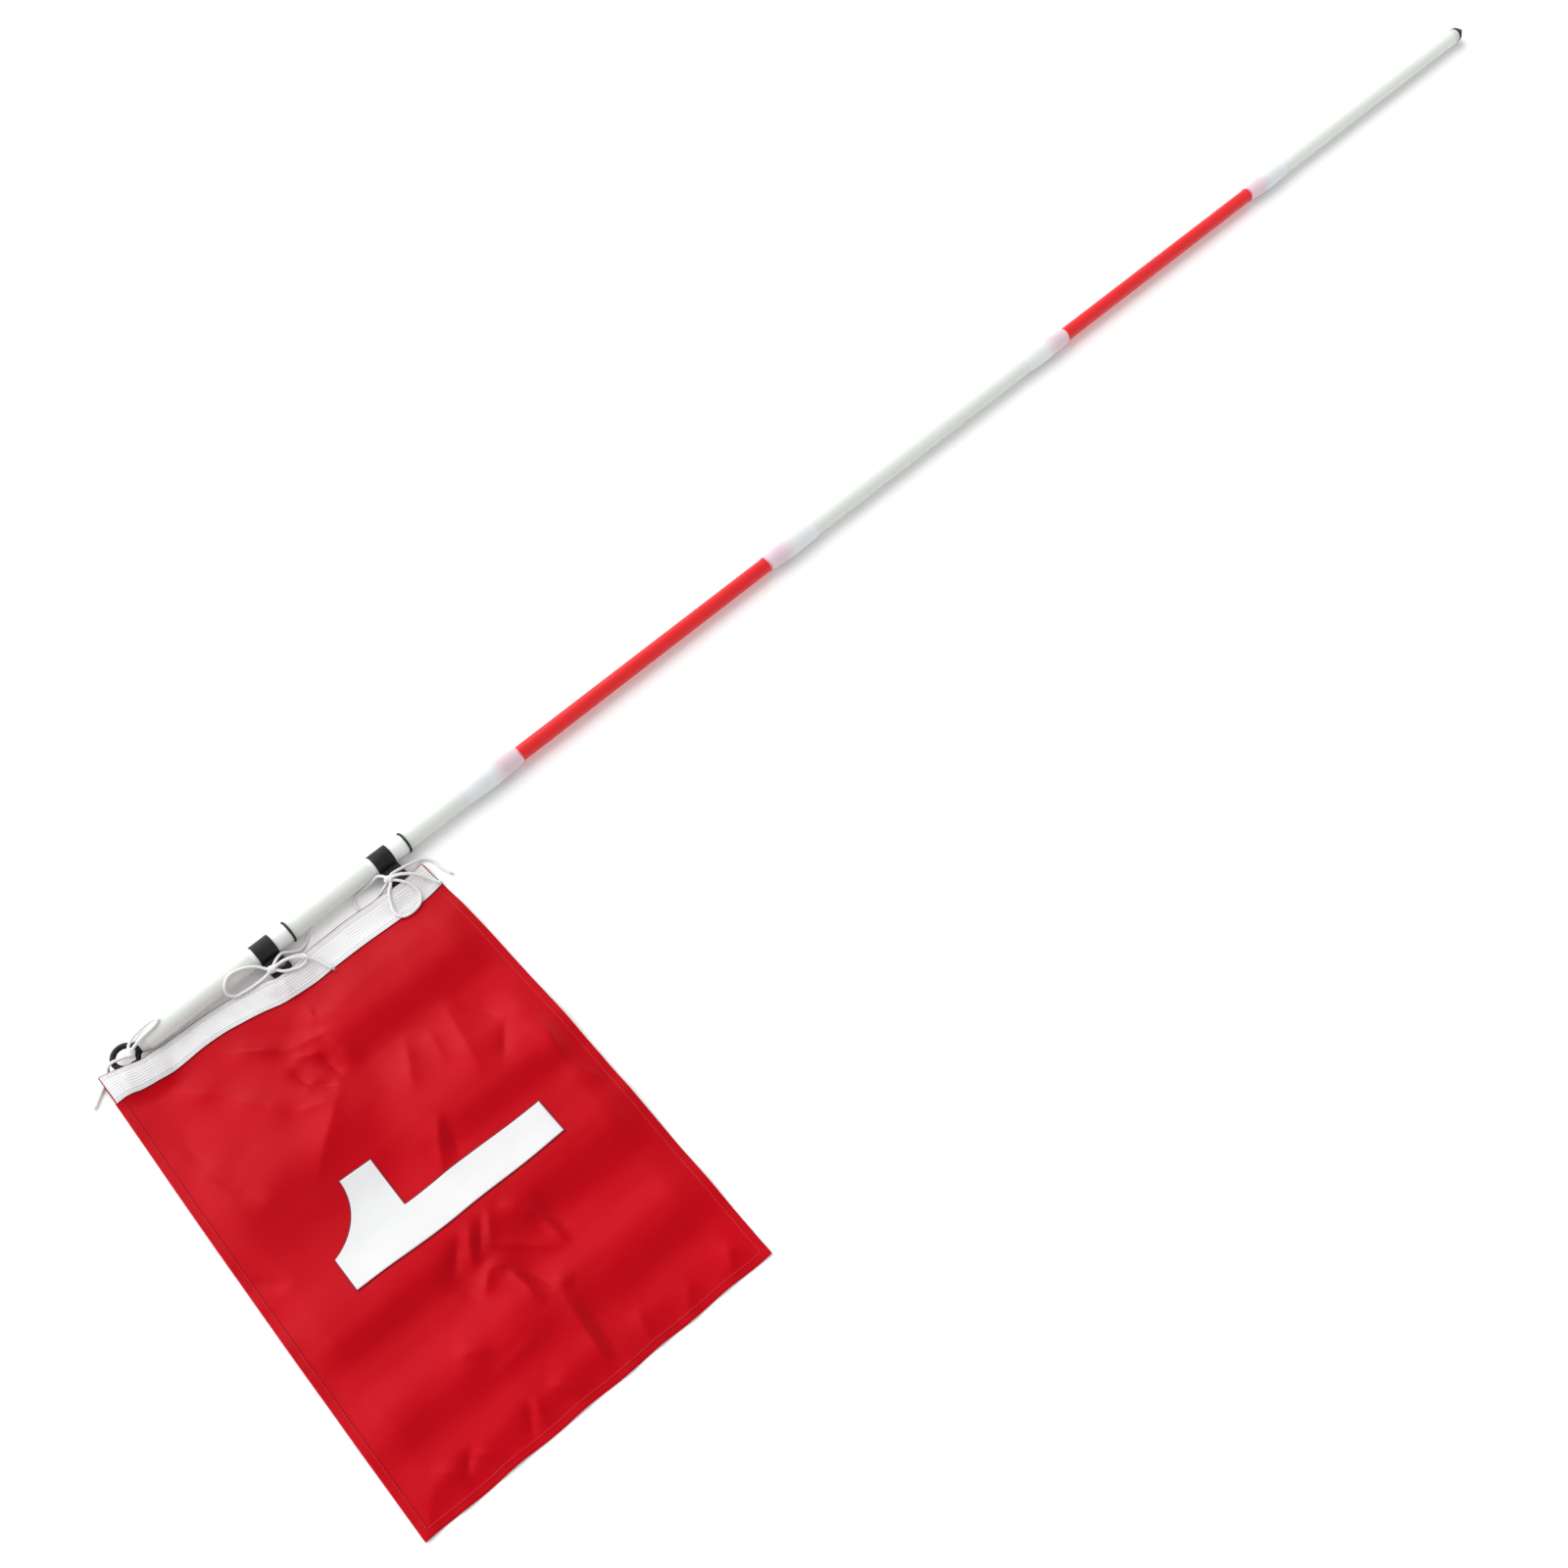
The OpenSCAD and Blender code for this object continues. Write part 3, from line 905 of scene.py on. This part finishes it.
def knot_piece(name, at, through, bind):
    """Turns of cord round the strands that pass through, and the cords that bind it below."""
    shape = Shape()
    way = np.array(through, float)
    way /= np.linalg.norm(way)
    side = np.cross(way, [0, 0, 1.0])
    side /= np.linalg.norm(side)
    up = np.cross(side, way)
    at = np.array(at, float)
    turn = np.linspace(0, 1, 90)
    angle = 2 * math.pi * KNOT_TURNS * turn
    wrap = (
        at
        + np.outer((turn - 0.5) * KNOT_WIDE, way)
        + np.outer(KNOT_R * np.cos(angle), side)
        + np.outer(KNOT_R * np.sin(angle), up)
    )
    shape.tube(wrap, CORD_D / 2, 12, CORD_LOBES, CORD_LOBE_DEPTH, CORD_PITCH)
    for lean in (-1, 1):
        strand = [
            at - way * KNOT_WIDE + side * lean * 1.5 + up * 0.4,
            at - way * 1.5 + side * lean * 0.9,
            at + way * 1.5 - side * lean * 0.9,
            at + way * KNOT_WIDE - side * lean * 1.5 - up * 0.4,
        ]
        shape.tube(spline(strand, 0.7), STRAND_R, 12, CORD_LOBES, CORD_LOBE_DEPTH, CORD_PITCH)
    for shift in (-0.9, 0.9):
        route = [at - up * 1.5 + way * shift] + [np.array(p, float) + way * shift for p in bind]
        shape.tube(spline(route, 0.8), STRAND_R, 12, CORD_LOBES, CORD_LOBE_DEPTH, CORD_PITCH)
    return shape.place(name, CORD_WHITE, "flag_set")


def frayed(shape, path, seed):
    """Short loose fibres past a cut end."""
    rng = np.random.default_rng(seed)
    end = path[-1]
    way = path[-1] - path[-4]
    way = way / np.linalg.norm(way)
    low = FLOOR_Z + FIBRE_OFF_FLOOR
    for _ in range(FIBRES):
        off = rng.normal(0, FIBRE_SPREAD, 3)
        tip = end + way * rng.uniform(1.6, 3.4) + off * 2.0
        start = end - way * 0.8 + off * 0.6
        mid = (start + tip) / 2 + rng.normal(0, 0.25, 3)
        route = np.array([start, mid, tip])
        route[:, 2] = np.maximum(route[:, 2], low)
        shape.tube(spline(route, 0.8), FIBRE_R, 5)


def cord_piece(name, seat_x, knot, route, back_to_knot, node):
    """One loop or tail of a tie, from its knot along its route; gives back its path."""
    start = np.array([seat_x, 0, 0])
    k = np.array(knot, float)
    pts = [np.array(p, float) for p in route]
    first = k + KNOT_START * (pts[0] - k) / np.linalg.norm(pts[0] - k)
    pts.insert(0, first)
    if back_to_knot:
        pts.append(k + KNOT_START * (pts[-1] - k) / np.linalg.norm(pts[-1] - k))
    path = spline([p + start for p in pts], 0.8)
    shape = Shape()
    shape.tube(path, CORD_D / 2, 12, CORD_LOBES, CORD_LOBE_DEPTH, CORD_PITCH)
    obj = shape.place(name, CORD_WHITE, "flag_set")
    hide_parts(node)
    return path


# name, seat, knot, route, length in metres, whether it comes back to its knot
CORDS = [
    ("tie_top_loop", EYE_X, TOP_KNOT, TOP_LOOP, 0.075, True),
    ("tie_top_tail", EYE_X, TOP_KNOT, TOP_TAIL, 0.065, False),
    ("tie_mid_loop_left", MID_X, MID_KNOT, MID_LOOP_A, 0.105, True),
    ("tie_mid_loop_right", MID_X, MID_KNOT, MID_LOOP_B, 0.075, True),
    ("tie_mid_tail_short", MID_X, MID_KNOT, MID_TAIL_A, 0.055, False),
    ("tie_mid_tail_long", MID_X, MID_KNOT, MID_TAIL_B, 0.06, False),
    ("tie_low_loop_left", LOW_X, LOW_KNOT, LOW_LOOP_A, 0.095, True),
    ("tie_low_loop_right", LOW_X, LOW_KNOT, LOW_LOOP_B, 0.105, True),
    ("tie_low_tail_long", LOW_X, LOW_KNOT, LOW_TAIL_A, 0.08, False),
    ("tie_low_tail_short", LOW_X, LOW_KNOT, LOW_TAIL_B, 0.05, False),
]
ends = Shape()
for index, (name, seat_x, knot, route, length, back) in enumerate(CORDS):
    cord_path = cord_piece(name, seat_x, knot, route, back, name[:7])
    if not back:
        frayed(ends, cord_path, 20 + index)
ends.place("tie_ends", CORD_WHITE, "flag_set")


def shifted(points, x):
    return [(p[0] + x, p[1], p[2]) for p in points]


def lowered(knot, bind):
    return [tuple(k + d for k, d in zip(knot, p)) for p in bind]


for name, seat_x, knot, way, bind, node in (
    ("tie_top_knot", EYE_X, TOP_KNOT, (0.5, 0.6, 0.3), TOP_BIND, "tie_top"),
    ("tie_mid_knot", MID_X, MID_KNOT, (0.9, -0.25, 0), lowered(MID_KNOT, CLIP_BIND), "tie_mid"),
    ("tie_low_knot", LOW_X, LOW_KNOT, (0.7, -0.5, 0), lowered(LOW_KNOT, CLIP_BIND), "tie_low"),
):
    knot_obj = knot_piece(name, shifted([knot], seat_x)[0], way, shifted(bind, seat_x))
    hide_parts(node)

# ---------------------------------------------------------------- flag

flag_shape = Shape()
flag_a, flag_b = np.meshgrid(np.linspace(0, 1, 176), np.linspace(0, 1, 256))
flag_shape.grid(on_cloth(flag_a, flag_b))
flag = flag_shape.place("flag_sheet", FLAG_RED, "flag_set")
solidify(flag, CLOTH_T, 1.0)
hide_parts("flag_cloth")

HEM_W, HEM_OFF_FLOOR = 7.5, 0.05
# Across the hem: share of its width from its inner line, and how high over the cloth
HEM_SECTION = [
    (0.0, 0.05),
    (0.06, 0.42),
    (0.2, 0.5),
    (0.4, 0.46),
    (0.6, 0.46),
    (0.8, 0.5),
    (0.95, 0.44),
]
# Round the cloth's cut edge: how far past it, and how far above it
HEM_ROUND = [(0.35, 0.1), (0.5, -0.25), (0.35, -0.55), (-0.6, -0.62)]


def hem(name, path_in, path_out):
    """A folded strip between two lines of (a, b) places, rounded over the cloth's cut edge."""
    rows = []
    for t, over in HEM_SECTION:
        a = path_in[0] + (path_out[0] - path_in[0]) * t
        b = path_in[1] + (path_out[1] - path_in[1]) * t
        rows.append(on_cloth(a, b, over))
    edge = on_cloth(path_out[0], path_out[1])
    out = edge - on_cloth(path_in[0], path_in[1])
    out[..., 2] = 0
    out /= np.linalg.norm(out, axis=-1)[..., None]
    for reach, over in HEM_ROUND:
        p = edge + out * reach
        p[..., 2] = np.maximum(p[..., 2] + over, FLOOR_Z + HEM_OFF_FLOOR)
        rows.append(p)
    shape = Shape()
    shape.grid(np.array(rows))
    return shape.place(name, FLAG_RED, "flag_set")


# The side hems come out from under the tape this far down the flag
HEM_FROM = 0.056
long_run = np.linspace(HEM_FROM, 1.0, 300)
short_run = np.linspace(0.0, 1.0, 210)
side_a, foot_b = HEM_W / FLAG_WIDE, HEM_W / FLAG_DEEP
hems = [
    hem("flag_hem_left", (side_a + 0 * long_run, long_run), (0 * long_run, long_run)),
    hem("flag_hem_right", (1 - side_a + 0 * long_run, long_run), (1 + 0 * long_run, long_run)),
    hem("flag_hem_fly", (short_run, 1 - foot_b + 0 * short_run), (short_run, 1 + 0 * short_run)),
]


def stitches(shape, line, pitch, length, radius):
    """Short raised threads at an even pitch along a line of points."""
    step = np.linalg.norm(np.diff(line, axis=0), axis=1)
    run = np.concatenate([[0], np.cumsum(step)])
    places = np.arange(pitch, run[-1] - pitch, pitch)

    def at(s):
        return np.stack([np.interp(s, run, line[:, k]) for k in range(3)], axis=-1)

    for s in places:
        a, m, b = at(s - length / 2), at(s), at(s + length / 2)
        lift = np.array([0, 0, radius])
        path = np.array([a - lift, a + lift * 0.5, m + lift, b + lift * 0.5, b - lift])
        shape.tube(path, np.array([0.6, 1, 1, 1, 0.6]) * radius, 6)


red_sewing = Shape()
# Share of the hem's width between its inner line and its stitches
STITCH_INSET = 0.16
RED_STITCH = {"pitch": 3.2, "length": 2.3, "radius": 0.26}
WHITE_STITCH = {"pitch": 3.0, "length": 2.2, "radius": 0.22}
sewn_a, sewn_b = side_a * (1 - STITCH_INSET), foot_b * (1 - STITCH_INSET)
for a_line, b_line in (
    (sewn_a + 0 * long_run, 0.004 + 0.99 * long_run),
    (1 - sewn_a + 0 * long_run, 0.004 + 0.99 * long_run),
    (0.01 + 0.98 * short_run, 1 - sewn_b + 0 * short_run),
):
    stitches(red_sewing, on_cloth(a_line, b_line, 0.5), **RED_STITCH)
red_sewing_obj = red_sewing.place("flag_stitches", RED_THREAD, "flag_set")

# ---------------------------------------------------------------- header tape

# The flag's own edge shows past the tape by this much
EDGE_SHOW = 0.8
RIB_PITCH, RIB_HEIGHT = 2.7, 0.22
SELVEDGE_W, SELVEDGE_HEIGHT = 1.2, 0.25
across = np.linspace(0, 1, 97)
along_a = np.linspace(0.002, 0.998, 330)


def tape_place(t):
    """Plan places along the tape, t across it from the tied edge to its far edge."""
    u0, y0 = flag_uv(along_a, 0 * along_a)
    u1 = TAPE_FOOT[0][0] + (TAPE_FOOT[-1][0] - TAPE_FOOT[0][0]) * along_a
    y1 = foot_y(u1)
    y0 = y0 - EDGE_SHOW
    return u0 + (u1 - u0) * t, y0 + (y1 - y0) * t


tape_t = across[:, None] + 0 * along_a[None, :]
tape_u, tape_y = tape_place(tape_t)
near_edge = np.exp(-((tape_t * TAPE_W / SELVEDGE_W) ** 2))
far_edge = np.exp(-(((1 - tape_t) * TAPE_W / SELVEDGE_W) ** 2))
rib = RIB_HEIGHT * np.cos(2 * math.pi * tape_t * TAPE_W / RIB_PITCH)
selvedge = SELVEDGE_HEIGHT * (near_edge + far_edge)
tape_shape = Shape()
tape_shape.grid(on_flag(tape_u, tape_y, TAPE_T + rib + selvedge))
tape = tape_shape.place("header_webbing", TAPE_WHITE, "flag_set")
solidify(tape, TAPE_T + 0.05, 1.0)
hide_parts("header_tape")


def tape_line(from_edge, over):
    """A line along the tape, from_edge millimetres in from the tied edge."""
    u, y = tape_place(from_edge / TAPE_W)
    return on_flag(u, y, over)


white_sewing = Shape()
for from_edge in (1.6, 4.4, TAPE_W - 4.4, TAPE_W - 1.6):
    stitches(white_sewing, tape_line(from_edge, TAPE_T + 0.18), **WHITE_STITCH)
white_sewing_obj = white_sewing.place("header_stitches", WHITE_THREAD, "flag_set")

# The flag's red edge that shows round the tape, drawn darker than the cloth as painted shade; along
# the tape's far edge the line also stands in for the shade under that edge
EDGE_R = 0.5
edge_and_shade = Shape()
for from_edge, over in ((-0.75, 0.15), (TAPE_W + 0.35, 0.45)):
    edge_and_shade.tube(tape_line(from_edge, over), EDGE_R, 8)
for end in (0, -1):
    edge_and_shade.tube(on_flag(tape_u[:, end], tape_y[:, end], 0.35), EDGE_R, 8)
edge_and_shade_obj = edge_and_shade.place("header_edge_and_shade", EDGE_RED_SHADED, "flag_set")

# ---------------------------------------------------------------- numeral

NUMERAL_AT = (4.0, -313.0)
NUMERAL_TURN = math.radians(-4)
NUMERAL_H, STEM_W, HOOK_W, HOOK_BOTTOM = 216.0, 38.0, 90.0, 73.0
# The hook's hollow side is an arc, from this far across the numeral
ARC_AT, ARC_R, ARC_FROM = (-14.5, 89.5), 55.5, 36
# The stem's long side swells outwards, with a slight waver
SWELL, WAVER = 2.4, 0.5
NUMERAL_OVER, NUMERAL_T = 0.55, 0.4


def arc_x(y):
    """Where the hook's hollow side starts, for a place across the numeral."""
    inside = np.maximum(ARC_R**2 - (np.asarray(y, float) - ARC_AT[1]) ** 2, 0)
    return np.maximum(ARC_AT[0] + np.sqrt(inside), 0.0)


def numeral_uv(x, y):
    """Plan place of a point x along the stem and y across it."""
    x, y = np.asarray(x, float), np.asarray(y, float)
    swell = SWELL * np.sin(math.pi * np.clip(x / NUMERAL_H, 0, 1)) * (1 - np.clip(y / STEM_W, 0, 1))
    y = y - swell + WAVER * np.sin(x / 17)
    c, s = math.cos(NUMERAL_TURN), math.sin(NUMERAL_TURN)
    return NUMERAL_AT[0] + x * c - y * s, NUMERAL_AT[1] + x * s + y * c


def numeral_points(x, y, over):
    u, v = numeral_uv(x, y)
    return on_flag(u, v, over)


STEM_ROWS, HOOK_ROWS, HOOK_COLS, STEM_COLS = 20, 27, 38, 71
stem_y = np.linspace(0, STEM_W, STEM_ROWS)
rows_y = np.concatenate([stem_y, np.linspace(STEM_W, HOOK_W, HOOK_ROWS)[1:]])
left = arc_x(rows_y)
hook_x = left[:, None] + (HOOK_BOTTOM - left[:, None]) * np.linspace(0, 1, HOOK_COLS)
stem_x = np.linspace(HOOK_BOTTOM, NUMERAL_H, STEM_COLS + 1)[1:]
numeral_shape = Shape()
numeral_shape.grid(numeral_points(hook_x, rows_y[:, None] + 0 * hook_x, NUMERAL_OVER))
all_stem_x = np.broadcast_to(stem_x, (STEM_ROWS, STEM_COLS))
join = np.concatenate([hook_x[:STEM_ROWS, -1:], all_stem_x], axis=1)
numeral_shape.grid(numeral_points(join, rows_y[:STEM_ROWS, None] + 0 * join, NUMERAL_OVER))
numeral = numeral_shape.place("numeral", NUMERAL_WHITE, "flag_set")
weld = numeral.modifiers.new("weld", "WELD")
weld.merge_threshold = 0.0001
solidify(numeral, NUMERAL_T, 0.0)
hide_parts("number_patch")


def line(x0, y0, x1, y1, count):
    """Points along a straight side of the numeral."""
    t = np.linspace(0, 1, count)
    return np.stack([x0 + (x1 - x0) * t, y0 + (y1 - y0) * t], axis=-1)


arc_rows = np.linspace(HOOK_W, ARC_FROM, 60)
outline = np.concatenate(
    [
        line(0, 0, NUMERAL_H, 0, 110),
        line(NUMERAL_H, 0, NUMERAL_H, STEM_W, 20)[1:],
        line(NUMERAL_H, STEM_W, HOOK_BOTTOM, STEM_W, 74)[1:],
        line(HOOK_BOTTOM, STEM_W, HOOK_BOTTOM, HOOK_W, 28)[1:],
        line(HOOK_BOTTOM, HOOK_W, float(arc_x(HOOK_W)), HOOK_W, 18)[1:],
        np.stack([arc_x(arc_rows), arc_rows], axis=-1)[1:],
        line(0, ARC_FROM, 0, 0, 20)[1:],
    ]
)
# A dark red line round the numeral: the red cut edge, drawn darker than the cloth as painted shade
edge_points = numeral_points(outline[:, 0], outline[:, 1], NUMERAL_OVER + 0.05)
numeral_edge = Shape()
numeral_edge.tube(edge_points, EDGE_R, 8)
numeral_edge_obj = numeral_edge.place("numeral_edge", EDGE_RED_SHADED, "flag_set")

# ---------------------------------------------------------------- carried-over CAD nodes

# Only edges sharper than this, in degrees, are softened
BEVEL_OVER = 40


def finish_node(node, material, bevel=0.0):
    """Gives an exact piece its material, and soft edges where bevel is their width."""
    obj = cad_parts[node]
    obj.data.materials.clear()
    obj.data.materials.append(material)
    if bevel:
        weld = obj.modifiers.new("weld", "WELD")
        weld.merge_threshold = WELD_GAP
        soft = obj.modifiers.new("bevel", "BEVEL")
        soft.width = bevel * MM
        soft.segments = 3
        soft.limit_method = "ANGLE"
        soft.angle_limit = math.radians(BEVEL_OVER)


WHITE_LACQUER = lacquer("white lacquer", srgb(228, 231, 227), srgb(223, 227, 222), 0.3)
RED_LACQUER = lacquer("red lacquer", srgb(231, 23, 30), srgb(221, 18, 27), 0.4)
for k in (1, 3, 5):
    finish_node(f"tube_{k}", WHITE_LACQUER)
for k in (2, 4):
    finish_node(f"tube_{k}", RED_LACQUER)

# The tint starts this far from a coupler's middle, at the stop that both tubes meet
COUPLER_WEB = 1.0
for k in (1, 2, 3, 4):
    low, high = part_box(f"coupler_{k}")
    middle = (low.x + high.x) / 2
    if k in (1, 3):
        pink = milky(f"milky {k}", middle + COUPLER_WEB * MM, high.x)
    else:
        pink = milky(f"milky {k}", middle - COUPLER_WEB * MM, low.x)
    finish_node(f"coupler_{k}", pink)

plug = moulded("plug white", srgb(208, 213, 213), srgb(197, 203, 204), 0.42)
bush = moulded("bush white", srgb(231, 233, 233), srgb(222, 226, 228), 0.34)
black = moulded("black plastic", srgb(19, 20, 20), srgb(30, 31, 31), 0.5, 1400)
rubber = moulded("black rubber", srgb(25, 26, 22), srgb(37, 38, 33), 0.66, 1700)
steel = moulded("washer steel", srgb(176, 176, 178), srgb(196, 196, 198), 0.35)
steel.set(Metallic=1.0)
black.set(Specular_IOR_Level=0.25)
finish_node("top_plug", plug.material)
finish_node("tip_ferrule", plug.material)
finish_node("bush_mid", bush.material)
finish_node("bush_low", bush.material)
finish_node("eye_retainer", steel.material)
finish_node("top_eye", black.material)
finish_node("clip_mid", black.material, 0.5)
finish_node("clip_low", black.material, 0.5)
finish_node("ground_point", black.material)

# The black point as places along X and radii: the CAD's cone, and a lip over the shoulder's end.
# The photo shows no lip; it is added so that the black shows from the camera
POINT_PROFILE = [
    (9.4, 8.3),
    (9.6, 8.75),
    (10.2, 8.95),
    (13.4, 8.8),
    (14.3, 8.35),
    (15.0, 7.7),
    (24.4, 2.3),
    (25.3, 1.6),
    (25.8, 0.7),
]
POINT_SIDES = 64
point_shape = Shape()
turns = np.linspace(0, 2 * math.pi, POINT_SIDES + 1)
point_shape.grid(
    np.array(
        [[(x, r * math.cos(a), r * math.sin(a)) for a in turns] for x, r in POINT_PROFILE]
    )
)
point_shape.tube([(25.6, 0, 0), (25.85, 0, 0)], 0.72, 24)
point_cap = point_shape.place("ground_point_cap", black.material, "section_5")
point_weld = point_cap.modifiers.new("weld", "WELD")
point_weld.merge_threshold = WELD_GAP
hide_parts("ground_point")
finish_node("o_ring_mid", rubber.material)
finish_node("o_ring_low", rubber.material)

# ---------------------------------------------------------------- floor and light

FLOOR_MIDDLE_X, FLOOR_HALF = -1.0, 6.0
# The floor's sheet lies this far under the lowest ring, in millimetres
FLOOR_GAP = 0.05
floor_mesh = bpy.data.meshes.new("floor")
floor_mesh.from_pydata(
    [
        (FLOOR_MIDDLE_X + i * FLOOR_HALF, j * FLOOR_HALF, 0)
        for i, j in ((-1, -1), (1, -1), (1, 1), (-1, 1))
    ],
    [],
    [(0, 1, 2, 3)],
)
floor = bpy.data.objects.new("floor", floor_mesh)
bpy.context.scene.collection.objects.link(floor)
floor.location.z = (FLOOR_Z - FLOOR_GAP) * MM
paper = Nodes("floor paper")
paper.colour(paper.blend(paper.noise(3, 3), (0.93, 0.93, 0.93), (0.95, 0.95, 0.95)))
paper.set(Roughness=0.9, Specular_IOR_Level=0.1)
floor_mesh.materials.append(paper.material)

WORLD_LIGHT = 0.745
KEY_STRENGTH = 3.06
KEY_ANGLE = 80.0
KEY_FROM = (-0.33, 0.75, 0.62)

world = bpy.data.worlds.new("world")
bpy.context.scene.world = world
world.use_nodes = True
world.node_tree.nodes["Background"].inputs[0].default_value = (1.0, 1.0, 1.0, 1.0)
world.node_tree.nodes["Background"].inputs[1].default_value = WORLD_LIGHT

key_data = bpy.data.lights.new("key", "SUN")
key_data.energy = KEY_STRENGTH
key_data.angle = math.radians(KEY_ANGLE)
key = bpy.data.objects.new("key", key_data)
bpy.context.scene.collection.objects.link(key)
key.rotation_euler = Vector(KEY_FROM).to_track_quat("Z", "Y").to_euler()

bpy.context.scene.view_settings.view_transform = "Standard"
bpy.context.scene.view_settings.look = "None"
